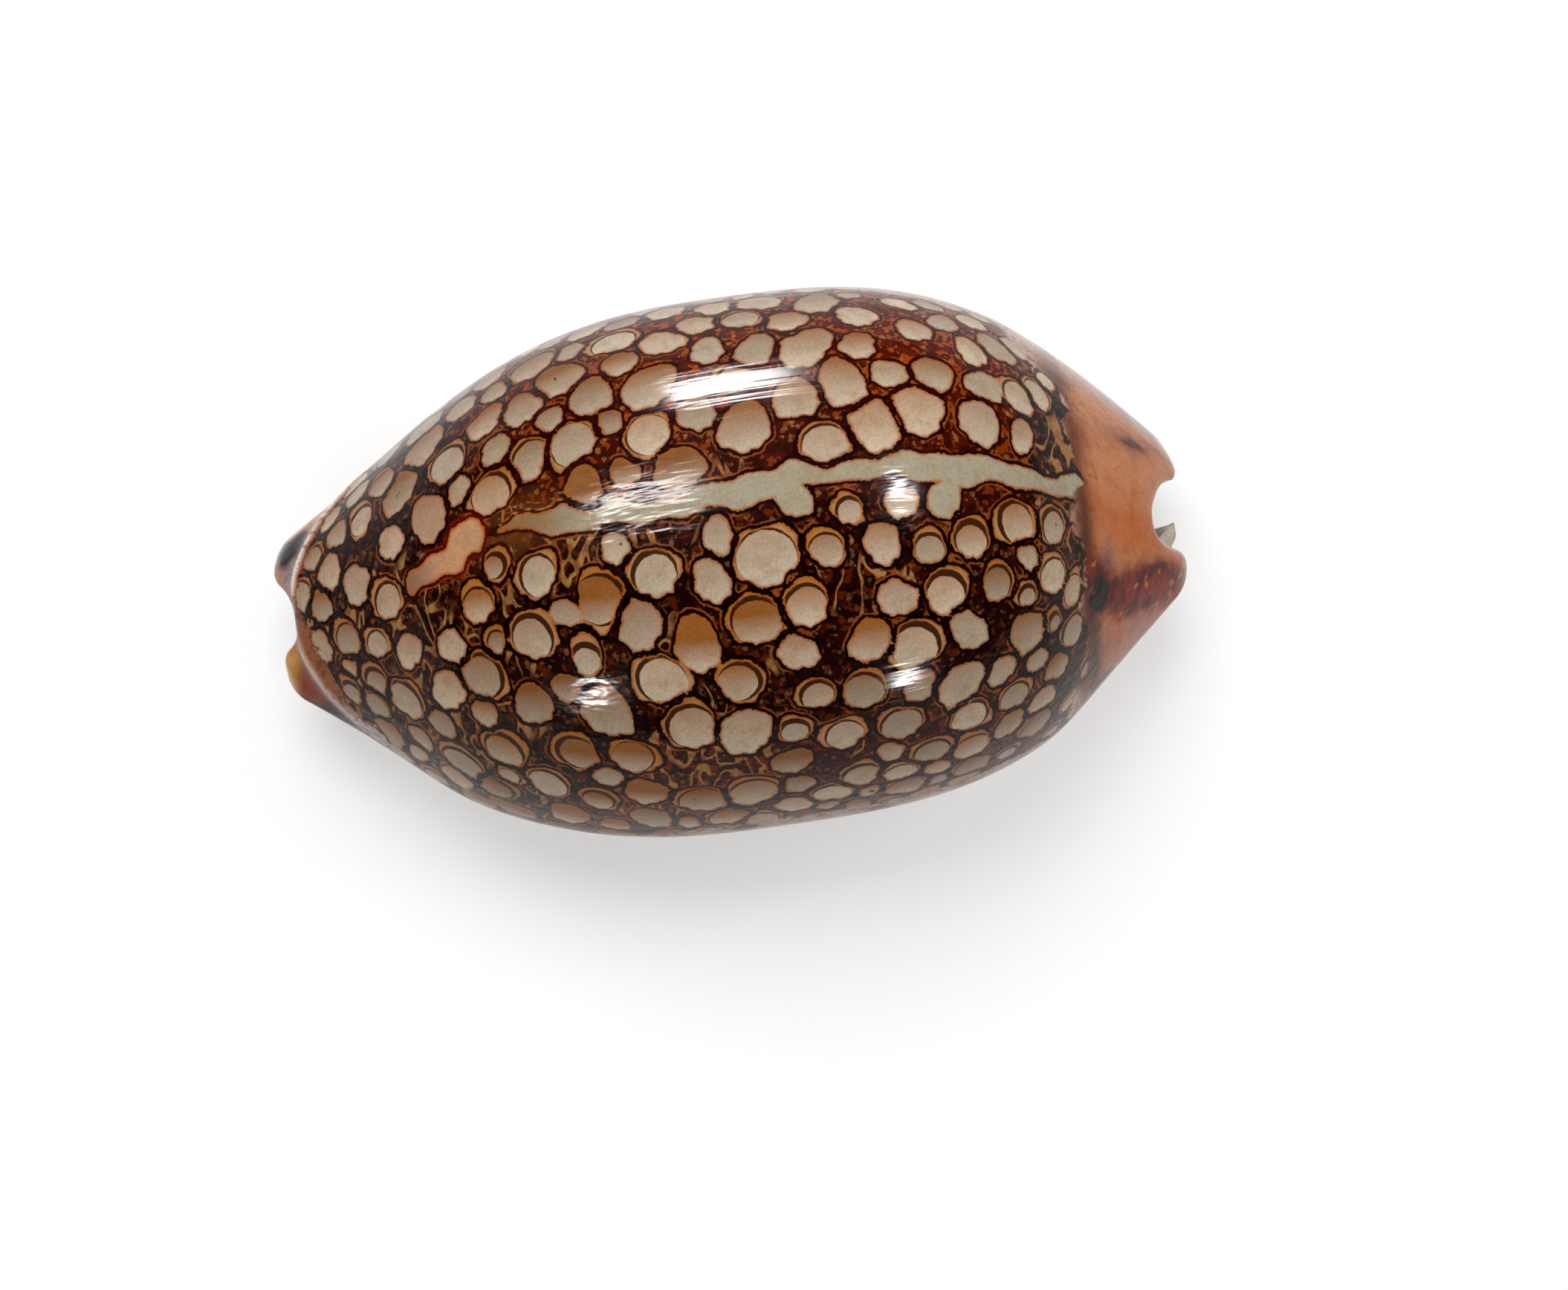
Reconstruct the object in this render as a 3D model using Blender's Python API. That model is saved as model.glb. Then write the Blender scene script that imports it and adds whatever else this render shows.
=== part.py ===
"""A patterned cowrie shell lying on its base, in metres, +Z up.

+X is the rear (spire) end, -X the front end, +Y the outer-lip side. The wall is a curled sheet: it starts
at the rolled outer lip, runs out over the base, round the margin, over the back and down again to the
inner lip, with the toothed slit of the mouth left open between the two lips and a canal at each end.
"""

import bpy
import numpy as np

MM = 0.001

# Driving dimensions, in millimetres.
LENGTH = 57.0
HALF_WIDTH = 16.5
HEIGHT = 26.2
WIDEST = 0.50           # share of the length, from the front end
HIGHEST = 0.56
FRONT_HALF_WIDTH = 4.4  # where the two canal beaks begin
REAR_HALF_WIDTH = 4.0
FRONT_HEIGHT = 8.6
REAR_HEIGHT = 8.8
FRONT_LIFT = 2.0        # how far the base turns up at each end
REAR_LIFT = 1.8
MARGIN_HEIGHT = 0.35    # share of the height at which the shell is widest
BACK_POWER = 2.25       # 2 is a plain ellipse, more is squarer
CREST_WALL = 1.5
MARGIN_WALL = 2.9
BASE_WALL = 2.4
LIP_RADIUS = 2.5        # of the middle of the wall, where a lip rolls in
HALF_SLIT = 1.3
OUTER_TEETH = 28
INNER_TEETH = 24
TOOTH_RADIUS = 0.5
TOOTH_RISE = 0.40         # of a tooth above the lip
TOOTH_PROFILE = (0.3, 0.9, 1.0, 1.0, 0.8)
OUTER_REACH = 5.6
INNER_REACH = 5.0

# Counts of the loft.
STATIONS = 36
SIDE_POINTS = 19
EASINGS = 30

FLAT_TAU = BASE_WALL / 2


def smooth(low, high, value):
    """0 below low, 1 above high, and a smooth step between."""
    share = np.clip((value - low) / (high - low), 0, 1)
    return share * share * (3 - 2 * share)


def swell(t, top, peak, front, rear, powers):
    """A rise from the front value to top at peak and down to the rear value, flaring a little at both ends."""
    ahead = t < peak
    xi = np.where(ahead, (peak - t) / peak, (t - peak) / (1 - peak))
    xi = np.clip(xi, 0, 1)
    end = np.where(ahead, front, rear)
    inner = np.where(ahead, powers[0], powers[2])
    outer = np.where(ahead, powers[1], powers[3])
    return end + (top - end) * (1 - xi**inner) ** outer


def half_width(t):
    return swell(t, HALF_WIDTH, WIDEST, FRONT_HALF_WIDTH, REAR_HALF_WIDTH, (2.5, 1.3, 3.25, 1.24))


def back_height(t):
    return swell(t, HEIGHT, HIGHEST, FRONT_HEIGHT, REAR_HEIGHT, (2.25, 1.12, 2.8, 1.3))


def base_lift(t):
    """The base is flat under the middle and turns up towards both canals."""
    front = np.clip((0.20 - t) / 0.20, 0, 1)
    rear = np.clip((t - 0.80) / 0.20, 0, 1)
    return FRONT_LIFT * front**2 + REAR_LIFT * rear**2


def lean(t):
    """How far the section at t stands towards the outer-lip side: both ends bend that way a little."""
    return 1.15 * smooth(0.24, 0.0, t) + 0.45 * np.exp(-(((t - 0.90) / 0.07) ** 2))


def slit_middle(t):
    """The mouth bends towards the inner-lip side at the rear."""
    return 0.9 - 0.6 * smooth(0.0, 0.3, t) - 1.3 * smooth(0.50, 0.85, t) + 2.4 * smooth(0.86, 1.0, t)


def half_slit(t):
    return HALF_SLIT + 0.40 * smooth(0.35, 0.05, t)


def section(t, side):
    """The middle line of the wall on one side at t, from the crest to the lip edge.

    Gives points (y, z), the half thickness at each, the weight for spacing points, and the run along it."""
    lift = base_lift(t)
    crest = back_height(t) - CREST_WALL / 2
    ends = smooth(0.16, 0.02, t) + smooth(0.86, 0.98, t)
    wide = half_width(t) - MARGIN_WALL / 2
    margin = lift + (back_height(t) - lift) * (MARGIN_HEIGHT + 0.13 * ends)
    floor = lift + FLAT_TAU
    roll = smooth(0.02, 0.16, t) * smooth(0.985, 0.86, t)
    sweep = np.pi / 2 * roll
    lip_start = side * slit_middle(t) + half_slit(t) + (LIP_RADIUS + FLAT_TAU) * np.sin(sweep)
    lip_start = min(lip_start, wide - 0.3)
    turn = max(2.8, 0.62 * (wide - lip_start))
    flat_start = wide - turn
    stop = np.pi
    if flat_start < lip_start:
        stop = np.pi - np.arcsin((lip_start - flat_start) / turn)
    over = np.linspace(0, np.pi / 2, 60)
    under = np.linspace(np.pi / 2, stop, 50)
    y = [wide * np.sin(over) ** (2 / BACK_POWER), flat_start + turn * np.sin(under)]
    z = [margin + (crest - margin) * np.cos(over) ** (2 / BACK_POWER), margin + (margin - floor) * np.cos(under)]
    y.append(np.linspace(y[1][-1], min(y[1][-1], lip_start), 20))
    z.append(np.full(20, z[1][-1]))
    arc = np.linspace(0, 1, 30) * sweep
    y.append(y[2][-1] - LIP_RADIUS * np.sin(arc))
    z.append(z[2][-1] + LIP_RADIUS * (1 - np.cos(arc)))
    climb = np.linspace(0, 1, 20) * (1.2 if side > 0 else 3.6) * roll**2
    y.append(y[3][-1] - climb * np.sin(np.pi / 2 - sweep) * 0.5 - side * 0.04 * climb**2)
    z.append(z[3][-1] + climb * np.sin(sweep))
    weight = np.repeat([1.0, 1.15, 1.0, 2.0, 1.3], [60, 50, 20, 30, 20])
    y = np.concatenate(y)
    z = np.concatenate(z)
    run = np.concatenate([[0], np.cumsum(np.hypot(np.diff(y), np.diff(z)))])
    left = run[-1] - run
    weight = weight + 2.2 * np.exp(-left / 0.6)
    above = np.clip((crest - z) / (crest - margin), 0, 1) ** 2
    below = np.clip((margin - z) / (margin - floor), 0, 1) ** 2
    tau = CREST_WALL / 2 + (MARGIN_WALL - CREST_WALL) / 2 * above - (MARGIN_WALL / 2 - FLAT_TAU) * below
    tau = np.where(run > run[130], FLAT_TAU, tau)
    tau = tau * np.sqrt(1 - np.clip(1 - left / FLAT_TAU, 0, 1) ** 2)
    return side * y + lean(t), z, tau, weight, run


def sample(t, side, share):
    """One point of the middle line at share (0 crest, 1 lip edge): y, z, half thickness."""
    y, z, tau, weight, run = section(t, side)
    spaced = np.concatenate([[0], np.cumsum((weight[1:] + weight[:-1]) / 2 * np.diff(run))])
    at = np.interp(share * spaced[-1], spaced, run)
    return np.array([np.interp(at, run, y), np.interp(at, run, z), np.interp(at, run, tau)])


def front_edge(y, share):
    """Share of the length at which the wall ends at the front: the beaks run on past the canal."""
    canal = smooth(3.9, 0.8, y) * smooth(-1.8, -0.2, y)
    return 0.003 + 0.020 * canal + 0.014 * smooth(0.7, 1.0, share)


def rear_edge(y, side, share):
    """The same at the rear, where the end of the inner lip shows a little inside the canal."""
    back = 0.996 - 0.043 * smooth(2.6, -0.9, y) * smooth(-3.1, -1.0, y)
    lip = 0.966 if side > 0 else 0.996
    return back + (lip - back) * smooth(0.60, 0.82, share)


def eased(grid, amount):
    """The grid with each point drawn towards its neighbours by its own amount, the outer edge along itself."""
    for _ in range(EASINGS):
        mean = grid.copy()
        mean[1:-1, 1:-1] = (grid[2:, 1:-1] + grid[:-2, 1:-1] + grid[1:-1, 2:] + grid[1:-1, :-2]) / 4
        mean[1:-1, 0] = (grid[2:, 0] + grid[:-2, 0]) / 2
        mean[1:-1, -1] = (grid[2:, -1] + grid[:-2, -1]) / 2
        grid = grid + (mean - grid) * amount[..., None]
    return grid


def sheet():
    """Outside and inside of the wall on a grid: along the length, then round the section."""
    shares = np.linspace(0, 1, 2 * SIDE_POINTS + 1)
    round_it = [(1, share) for share in shares[::-1]] + [(-1, share) for share in shares[1:]]
    even = np.linspace(0, 1, 400)
    from_end = LENGTH * np.minimum(even, 1 - even)
    crowd = np.concatenate([[0], np.cumsum(1 + 2.6 * np.exp(-from_end[1:] / 1.1))])
    rows = np.interp(np.linspace(0, crowd[-1], 2 * STATIONS + 1), crowd, even)
    middle = np.zeros((len(rows), len(round_it), 3))
    tau = np.zeros((len(rows), len(round_it)))
    for j, (side, share) in enumerate(round_it):
        front = front_edge(sample(0.01, side, share)[0], share)
        rear = rear_edge(sample(0.99, side, share)[0], side, share)
        for i, row in enumerate(rows):
            t = front + (rear - front) * row
            y, z, half = sample(t, side, share)
            to_end = LENGTH * min(t - front, rear - t)
            round_off = np.sqrt(1 - np.clip(1 - to_end / MARGIN_WALL * 2, 0, 1) ** 2)
            middle[i, j] = (LENGTH * (t - 0.5), y, z)
            tau[i, j] = half * round_off
    t = middle[..., 0] / LENGTH + 0.5
    middle = eased(middle, 0.6 * (smooth(0.20, 0.10, t) + smooth(0.80, 0.90, t)))
    away = np.cross(np.gradient(middle, axis=1), np.gradient(middle, axis=0))
    away = away / np.linalg.norm(away, axis=2, keepdims=True)
    outside = middle + away * tau[..., None]
    inside = middle - away * tau[..., None]
    outside[..., 2] = np.where(outside[..., 2] < 0.06, 0, outside[..., 2])
    flat = outside[::2, ::2].reshape(-1, 3)
    centre = (flat.max(axis=0) + flat.min(axis=0)) / 2 * (1, 1, 0)
    return outside - centre, inside - centre, away


def wall_mesh(outside, inside):
    """The closed wall: outside and inside of the sheet, meeting along the rounded rim."""
    rows, columns = outside.shape[:2]
    index = np.arange(rows * columns).reshape(rows, columns)
    inner_index = index.copy()
    inner_index[1:-1, 1:-1] = rows * columns + np.arange((rows - 2) * (columns - 2)).reshape(rows - 2, -1)
    points = np.concatenate([outside.reshape(-1, 3), inside[1:-1, 1:-1].reshape(-1, 3)])
    faces = []
    for grid, turned in ((index, False), (inner_index, True)):
        for i in range(rows - 1):
            for j in range(columns - 1):
                a, b, c, d = grid[i, j], grid[i, j + 1], grid[i + 1, j + 1], grid[i + 1, j]
                short = np.linalg.norm(points[a] - points[c]) < np.linalg.norm(points[b] - points[d])
                pair = [(a, b, c), (a, c, d)] if short else [(a, b, d), (b, c, d)]
                faces.extend([face[::-1] for face in pair] if turned else pair)
    mesh = bpy.data.meshes.new("wall")
    mesh.from_pydata([tuple(p) for p in points * MM], [], [[int(n) for n in f] for f in faces])
    mesh.update()
    return mesh


def across_slit(outside, facing, x, side):
    """The outside of one lip at x, as points from the base, over the lip and into the mouth."""
    last = outside.shape[1] - 1
    columns = list(range(last // 2, -1, -1) if side > 0 else range(last // 2, last + 1))
    path = []
    for column in columns:
        along = outside[:, column, 0]
        point = [np.interp(x, along, outside[:, column, axis]) for axis in range(3)]
        away = [np.interp(x, along, facing[:, column, axis]) for axis in range(3)]
        path.append(point + away)
    path = np.array(path)
    lowest = np.nonzero(path[:, 5] < -0.985)[0]
    return path[lowest[-1] if len(lowest) else np.argmin(path[:, 5]):]


def tooth_spine(outside, facing, x, side):
    """Centre points and radii of one tooth: a ridge that fades out on the base and runs into the mouth."""
    path = across_slit(outside, facing, x, side)
    run = np.concatenate([[0], np.cumsum(np.linalg.norm(np.diff(path[:, :3], axis=0), axis=1))])
    reach = min(OUTER_REACH if side > 0 else INNER_REACH, 0.92 * run[-1])
    at = np.linspace(0, reach, len(TOOTH_PROFILE))
    spine = np.stack([np.interp(at, run, path[:, axis]) for axis in range(6)], axis=1)
    radii = TOOTH_RADIUS * np.array(TOOTH_PROFILE)
    centres = spine[:, :3] + spine[:, 3:] * (TOOTH_RISE * radii / TOOTH_RADIUS - radii)[:, None]
    centres[:, 2] = np.maximum(centres[:, 2], radii + 0.05)
    return centres, radii


def teeth_mesh(outside, facing):
    """Every tooth of both lips, as one curve swept round each spine."""
    curve = bpy.data.curves.new("teeth", "CURVE")
    curve.dimensions = "3D"
    curve.bevel_depth = MM
    curve.bevel_resolution = 1
    curve.use_fill_caps = True
    for side, count in ((1, OUTER_TEETH), (-1, INNER_TEETH)):
        for x in np.linspace(-0.405, 0.425, count) * LENGTH:
            centres, radii = tooth_spine(outside, facing, x, side)
            line = curve.splines.new("POLY")
            line.points.add(len(radii) - 1)
            for point, centre, radius in zip(line.points, centres, radii):
                point.co = (*(centre * MM), 1)
                point.radius = radius
    holder = bpy.data.objects.new("teeth", curve)
    group.objects.link(holder)
    bpy.context.view_layer.update()
    solid = bpy.data.meshes.new_from_object(holder.evaluated_get(bpy.context.evaluated_depsgraph_get()))
    bpy.data.objects.remove(holder)
    return solid


for thing in list(bpy.data.objects):
    bpy.data.objects.remove(thing)

group = bpy.data.collections.new("cowrie_shell")
bpy.context.scene.collection.children.link(group)

outer_face, inner_face, facing = sheet()
shell = bpy.data.objects.new("shell", wall_mesh(outer_face[::2, ::2], inner_face[::2, ::2]))
group.objects.link(shell)

teeth = bpy.data.objects.new("teeth", teeth_mesh(outer_face, facing))
teeth.hide_render = True
group.objects.link(teeth)

fuse = shell.modifiers.new("teeth", "BOOLEAN")
fuse.operation = "UNION"
fuse.solver = "EXACT"
fuse.object = teeth

tidy = shell.modifiers.new("tidy", "WELD")
tidy.merge_threshold = 0.02 * MM

glaze = bpy.data.materials.new("glossy_shell")
glaze.use_nodes = True
surface = glaze.node_tree.nodes["Principled BSDF"]
surface.inputs["Base Color"].default_value = (0.30, 0.16, 0.09, 1)
surface.inputs["Roughness"].default_value = 0.18
shell.data.materials.append(glaze)
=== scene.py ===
import bpy
import numpy as np
from mathutils import Matrix, Vector


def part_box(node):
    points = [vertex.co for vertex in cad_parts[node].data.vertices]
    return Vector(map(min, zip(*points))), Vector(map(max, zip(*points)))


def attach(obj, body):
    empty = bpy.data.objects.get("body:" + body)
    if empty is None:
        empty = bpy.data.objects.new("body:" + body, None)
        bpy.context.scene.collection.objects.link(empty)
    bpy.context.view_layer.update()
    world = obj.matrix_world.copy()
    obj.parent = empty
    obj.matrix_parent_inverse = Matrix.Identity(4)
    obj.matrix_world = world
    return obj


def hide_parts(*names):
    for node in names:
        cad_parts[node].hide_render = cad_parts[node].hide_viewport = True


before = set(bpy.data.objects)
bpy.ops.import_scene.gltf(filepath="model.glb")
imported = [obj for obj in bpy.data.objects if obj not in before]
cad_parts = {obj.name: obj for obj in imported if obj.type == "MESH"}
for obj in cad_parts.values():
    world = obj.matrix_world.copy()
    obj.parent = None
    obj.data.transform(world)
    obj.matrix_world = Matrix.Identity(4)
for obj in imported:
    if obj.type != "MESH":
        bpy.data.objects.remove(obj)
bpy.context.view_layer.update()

# ---------------------------------------------------------------------------------------------------
# The table, the studio and the camera. None of it belongs to the shell: a plain white table, a soft room,
# three broad lamps for the colours, five small ones that only glint on the glaze, and a long lens above.
# ---------------------------------------------------------------------------------------------------
TABLE_GAP = 0.0002
TABLE_GREY = 0.56
TABLE_LIFT = 0.48  # added where it is seen, which makes it plain white
ROOM_LIGHT = 0.12
CAMERA_DISTANCE = 0.2648
VIEW_AZIMUTH = np.radians(-8.0)
VIEW_ELEVATION = np.radians(79.0)
AIM_OFFSET = (0.0032, -0.0057, 0)  # across and up the view, from the shell's middle

scene = bpy.context.scene
scene.view_settings.view_transform = "Standard"

shell_low, shell_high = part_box("shell")
shell_middle = (shell_low + shell_high) / 2

def step(tree, kind, *sources, **settings):
    """Adds a node to a tree. Its inputs take sockets or numbers in order, and None leaves one alone."""
    made = tree.nodes.new(kind)
    for name, value in settings.items():
        setattr(made, name, value)
    for socket, source in zip(made.inputs, sources):
        if isinstance(source, bpy.types.NodeSocket):
            tree.links.new(source, socket)
        elif source is not None:
            socket.default_value = source
    return made


def sums(tree, operation, *sources):
    return step(tree, "ShaderNodeMath", *sources, operation=operation).outputs[0]


table_mesh = bpy.data.meshes.new("table")
table_mesh.from_pydata([(-3, -3, 0), (3, -3, 0), (3, 3, 0), (-3, 3, 0)], [], [(0, 1, 2, 3)])
table = bpy.data.objects.new("table", table_mesh)
table.location.z = shell_low.z - TABLE_GAP
scene.collection.objects.link(table)

white_table = bpy.data.materials.new("white_table")
white_table.use_nodes = True
table_tree = white_table.node_tree
table_surface = table_tree.nodes["Principled BSDF"]
table_surface.inputs["Base Color"].default_value = (TABLE_GREY, TABLE_GREY, TABLE_GREY, 1)
table_surface.inputs["Roughness"].default_value = 0.9
table_surface.inputs["Specular IOR Level"].default_value = 0.1
seen_by = step(table_tree, "ShaderNodeLightPath").outputs
seen = sums(table_tree, "ADD", seen_by["Is Camera Ray"], seen_by["Is Glossy Ray"])
seen = sums(table_tree, "ADD", seen, seen_by["Is Transmission Ray"])
lift_white = sums(table_tree, "MULTIPLY", seen, TABLE_LIFT)
table_surface.inputs["Emission Color"].default_value = (1, 1, 1, 1)
table_tree.links.new(lift_white, table_surface.inputs["Emission Strength"])
table_mesh.materials.append(white_table)

room = bpy.data.worlds.new("room")
room.use_nodes = True
scene.world = room
room_light = room.node_tree.nodes["Background"]
room_light.inputs["Color"].default_value = (1, 1, 1, 1)
room_light.inputs["Strength"].default_value = ROOM_LIGHT


def lamp(name, direction, width, height, power, long_axis=(1, 0, 0), soft=False, far=0.6):
    """A rectangular lamp far metres away in a direction, facing the shell, its width along long_axis. A soft
    one brings out the colours and leaves no glint; the others only glint on the glaze."""
    light = bpy.data.lights.new(name, "AREA")
    light.shape = "RECTANGLE"
    light.size = width
    light.size_y = height
    light.energy = power
    holder = bpy.data.objects.new(name, light)
    back = Vector(direction).normalized()
    upright = back.cross(Vector(long_axis)).normalized()
    turned = Matrix((upright.cross(back), upright, back)).transposed()
    holder.location = shell_middle + back * far
    holder.rotation_euler = turned.to_euler()
    holder.visible_glossy = not soft
    holder.visible_diffuse = soft
    scene.collection.objects.link(holder)


lamp("soft_top", (-0.12, 0.48, 0.86), 0.50, 0.40, 3.3, soft=True)
lamp("soft_right", (0.80, 0.10, 0.58), 0.30, 0.25, 0.95, soft=True)
lamp("soft_front", (-0.20, -0.85, 0.45), 0.40, 0.25, 0.90, soft=True)
lamp("back_window", (-0.08, 0.89, 0.43), 0.17, 0.13, 12.5)
lamp("long_strip", (-0.437, 0.307, 0.82), 0.26, 0.045, 5.8, long_axis=(0.89, 0.08, 0.45))
lamp("small_right", (0.46, 0.17, 0.87), 0.045, 0.026, 3.4)
lamp("front_low", (0.33, -0.93, 0.20), 0.06, 0.05, 2.5)
lamp("left_low", (-0.64, -0.71, 0.30), 0.05, 0.08, 2.6)

flat_reach = np.cos(VIEW_ELEVATION)
toward_camera = Vector((
    np.sin(VIEW_AZIMUTH) * flat_reach,
    -np.cos(VIEW_AZIMUTH) * flat_reach,
    np.sin(VIEW_ELEVATION),
))
camera_turn = toward_camera.to_track_quat("Z", "Y")
aim = shell_middle + camera_turn @ Vector(AIM_OFFSET)
camera_data = bpy.data.cameras.new("camera")
camera_data.lens = 100
camera = bpy.data.objects.new("camera", camera_data)
camera.location = aim + toward_camera * CAMERA_DISTANCE
camera.rotation_euler = camera_turn.to_euler()
scene.collection.objects.link(camera)
scene.camera = camera

# ---------------------------------------------------------------------------------------------------
# The wall of the shell: one thick sheet of glazed, chalky shell laid down by the animal. It starts at the
# rolled outer lip, runs over the base, round the margin, over the back and down again to the inner lip.
# It is made as a loft of sections, each the middle line of the wall with its own thickness.
# ---------------------------------------------------------------------------------------------------
MM = 0.001
LENGTH = 57.0  # this and all sizes below in millimetres
HALF_WIDTH = 16.5
HEIGHT = 26.2
WIDEST = 0.50  # share of the length, from the front end
HIGHEST = 0.56
FRONT_HALF_WIDTH = 4.4  # where the two canal beaks begin
REAR_HALF_WIDTH = 4.0
FRONT_HEIGHT = 8.6
REAR_HEIGHT = 8.8
FRONT_LIFT = 2.0  # how far the base turns up at each end
REAR_LIFT = 1.8
MARGIN_HEIGHT = 0.35  # share of the height at which the shell is widest
BACK_POWER = 2.25  # 2 is a plain ellipse, more is squarer
CREST_WALL = 1.5
MARGIN_WALL = 2.9
BASE_WALL = 2.4
LIP_RADIUS = 2.5  # of the middle of the wall, where a lip rolls in
HALF_SLIT = 1.3
HALF_BASE = BASE_WALL / 2

STATIONS = 36  # steps along the shell, and round each side of a section; each is then halved
SIDE_POINTS = 19
EASINGS = 30
SECTION_POINTS = (60, 50, 20, 30, 20)  # of the back, margin, base, rolled lip and lip edge
ROLL_START = 130  # the point at which the lip starts to roll in
ROW_STEPS = 4  # finer rows and columns between these, the finest on the back
BASE_STEPS = 2.4
BACK_STEPS = 6
BACK_COLUMNS = (20, 56)


def smooth(low, high, value):
    """0 below low, 1 above high, and a smooth step between."""
    share = np.clip((value - low) / (high - low), 0, 1)
    return share * share * (3 - 2 * share)


def swell(t, top, peak, front, rear, powers):
    """A rise from the front value to top at peak and down to the rear value, flaring at both ends."""
    ahead = t < peak
    xi = np.clip(np.where(ahead, (peak - t) / peak, (t - peak) / (1 - peak)), 0, 1)
    end = np.where(ahead, front, rear)
    inner = np.where(ahead, powers[0], powers[2])
    outer = np.where(ahead, powers[1], powers[3])
    return end + (top - end) * (1 - xi**inner) ** outer


def half_width(t):
    return swell(t, HALF_WIDTH, WIDEST, FRONT_HALF_WIDTH, REAR_HALF_WIDTH, (2.5, 1.3, 3.25, 1.24))


def back_height(t):
    return swell(t, HEIGHT, HIGHEST, FRONT_HEIGHT, REAR_HEIGHT, (2.25, 1.12, 2.8, 1.3))


def base_lift(t):
    """The base is flat under the middle and turns up towards both canals."""
    front = np.clip((0.20 - t) / 0.20, 0, 1)
    rear = np.clip((t - 0.80) / 0.20, 0, 1)
    return FRONT_LIFT * front**2 + REAR_LIFT * rear**2


def lean(t):
    """How far the section at t stands towards the outer-lip side: both ends bend that way a little."""
    return 1.15 * smooth(0.24, 0.0, t) + 0.45 * np.exp(-(((t - 0.90) / 0.07) ** 2))


def slit_middle(t):
    """The mouth bends towards the inner-lip side at the rear."""
    return 0.9 - 0.6 * smooth(0.0, 0.3, t) - 1.3 * smooth(0.50, 0.85, t) + 2.4 * smooth(0.86, 1.0, t)


def half_slit(t):
    return HALF_SLIT + 0.40 * smooth(0.35, 0.05, t)


def section(t, side):
    """The middle line of the wall on one side at t, from the crest to the lip edge.

    Gives points (y, z), the half thickness at each, the weight for spacing points, and the run along it."""
    lift = base_lift(t)
    crest = back_height(t) - CREST_WALL / 2
    ends = smooth(0.16, 0.02, t) + smooth(0.86, 0.98, t)
    wide = half_width(t) - MARGIN_WALL / 2
    margin = lift + (back_height(t) - lift) * (MARGIN_HEIGHT + 0.13 * ends)
    floor = lift + HALF_BASE
    roll = smooth(0.02, 0.16, t) * smooth(0.985, 0.86, t)
    sweep = np.pi / 2 * roll
    lip_start = side * slit_middle(t) + half_slit(t) + (LIP_RADIUS + HALF_BASE) * np.sin(sweep)
    lip_start = min(lip_start, wide - 0.3)
    turn = max(2.8, 0.62 * (wide - lip_start))
    flat_start = wide - turn
    stop = np.pi
    if flat_start < lip_start:
        stop = np.pi - np.arcsin((lip_start - flat_start) / turn)
    over_back = np.linspace(0, np.pi / 2, SECTION_POINTS[0])
    under = np.linspace(np.pi / 2, stop, SECTION_POINTS[1])
    y = [wide * np.sin(over_back) ** (2 / BACK_POWER)]
    z = [margin + (crest - margin) * np.cos(over_back) ** (2 / BACK_POWER)]
    y.append(flat_start + turn * np.sin(under))
    z.append(margin + (margin - floor) * np.cos(under))
    y.append(np.linspace(y[1][-1], min(y[1][-1], lip_start), SECTION_POINTS[2]))
    z.append(np.full(SECTION_POINTS[2], z[1][-1]))
    arc = np.linspace(0, 1, SECTION_POINTS[3]) * sweep
    y.append(y[2][-1] - LIP_RADIUS * np.sin(arc))
    z.append(z[2][-1] + LIP_RADIUS * (1 - np.cos(arc)))
    climb = np.linspace(0, 1, SECTION_POINTS[4]) * (1.2 if side > 0 else 3.6) * roll**2
    y.append(y[3][-1] - climb * np.sin(np.pi / 2 - sweep) * 0.5 - side * 0.04 * climb**2)
    z.append(z[3][-1] + climb * np.sin(sweep))
    weight = np.repeat([1.0, 1.15, 1.0, 2.0, 1.3], SECTION_POINTS)
    y = np.concatenate(y)
    z = np.concatenate(z)
    run = np.concatenate([[0], np.cumsum(np.hypot(np.diff(y), np.diff(z)))])
    left = run[-1] - run
    weight = weight + 2.2 * np.exp(-left / 0.6)
    above = np.clip((crest - z) / (crest - margin), 0, 1) ** 2
    below = np.clip((margin - z) / (margin - floor), 0, 1) ** 2
    half = CREST_WALL / 2 + (MARGIN_WALL - CREST_WALL) / 2 * above - (MARGIN_WALL / 2 - HALF_BASE) * below
    half = np.where(run > run[ROLL_START], HALF_BASE, half)
    return side * y + lean(t), z, half, weight, run


def sample(t, side, share):
    """One point of the middle line at share (0 crest, 1 lip edge): y, z, half thickness, distance to the
    lip edge and distance past the start of the lip's roll."""
    y, z, half, weight, run = section(t, side)
    spaced = np.concatenate([[0], np.cumsum((weight[1:] + weight[:-1]) / 2 * np.diff(run))])
    at = np.interp(share * spaced[-1], spaced, run)
    here = [np.interp(at, run, values) for values in (y, z, half)]
    return np.array([*here, run[-1] - at, at - run[ROLL_START]])


def front_edge(y, share):
    """Share of the length at which the wall ends at the front: the beaks run on past the canal."""
    canal = smooth(3.9, 0.8, y) * smooth(-1.8, -0.2, y)
    return 0.003 + 0.020 * canal + 0.014 * smooth(0.7, 1.0, share)


def rear_edge(y, side, share):
    """The same at the rear, where the end of the inner lip shows a little inside the canal."""
    back = 0.996 - 0.043 * smooth(2.6, -0.9, y) * smooth(-3.1, -1.0, y)
    lip = 0.966 if side > 0 else 0.996
    return back + (lip - back) * smooth(0.60, 0.82, share)


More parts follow.
